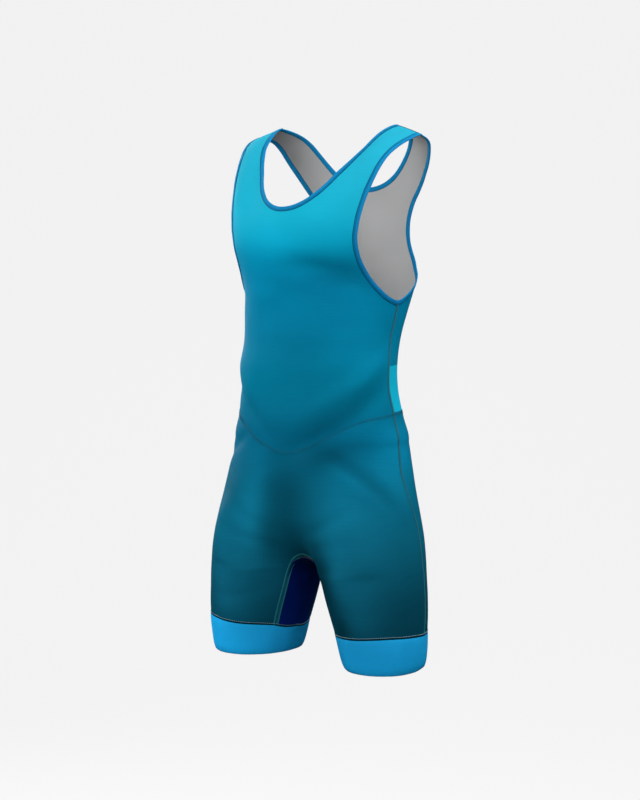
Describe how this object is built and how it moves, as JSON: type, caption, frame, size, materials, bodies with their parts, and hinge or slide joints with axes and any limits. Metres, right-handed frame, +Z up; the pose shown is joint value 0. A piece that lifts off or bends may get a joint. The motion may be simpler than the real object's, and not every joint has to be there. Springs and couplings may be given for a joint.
{
  "type": "wrestling singlet",
  "caption": "Wrestling singlet filled out as if worn: scoop neck, wide shoulder straps, deep bound armholes, curved hip seam and short legs with doubled bands and a crotch gusset.",
  "frame": {"origin": "midway between the tops of the two straps, at the inner ends of the shoulder seams' height, where the wearer's shoulders hold the garment", "axes": "+Z up, -Y to the garment's front, +X to the garment's left side"},
  "size_m": [0.3846, 0.2493, 0.8495],
  "materials": {
    "upper_knit": "smooth stretch knit, soft satin sheen, bright blue that deepens downwards",
    "lower_knit": "smooth stretch knit, soft satin sheen, deep teal blue",
    "gusset_knit": "matt stretch knit, navy",
    "cuff_knit": "doubled stretch knit, soft sheen, mid blue",
    "binding_knit": "folded stretch binding, soft sheen, mid blue"
  },
  "bodies": {
    "root": {"front_body": "upper_knit", "back_body": "upper_knit", "front_shorts": "lower_knit", "back_shorts": "lower_knit", "gusset": "gusset_knit", "cuff_left": "cuff_knit", "cuff_right": "cuff_knit", "neck_binding": "binding_knit", "armhole_binding_left": "binding_knit", "armhole_binding_right": "binding_knit"}
  },
  "joints": []
}
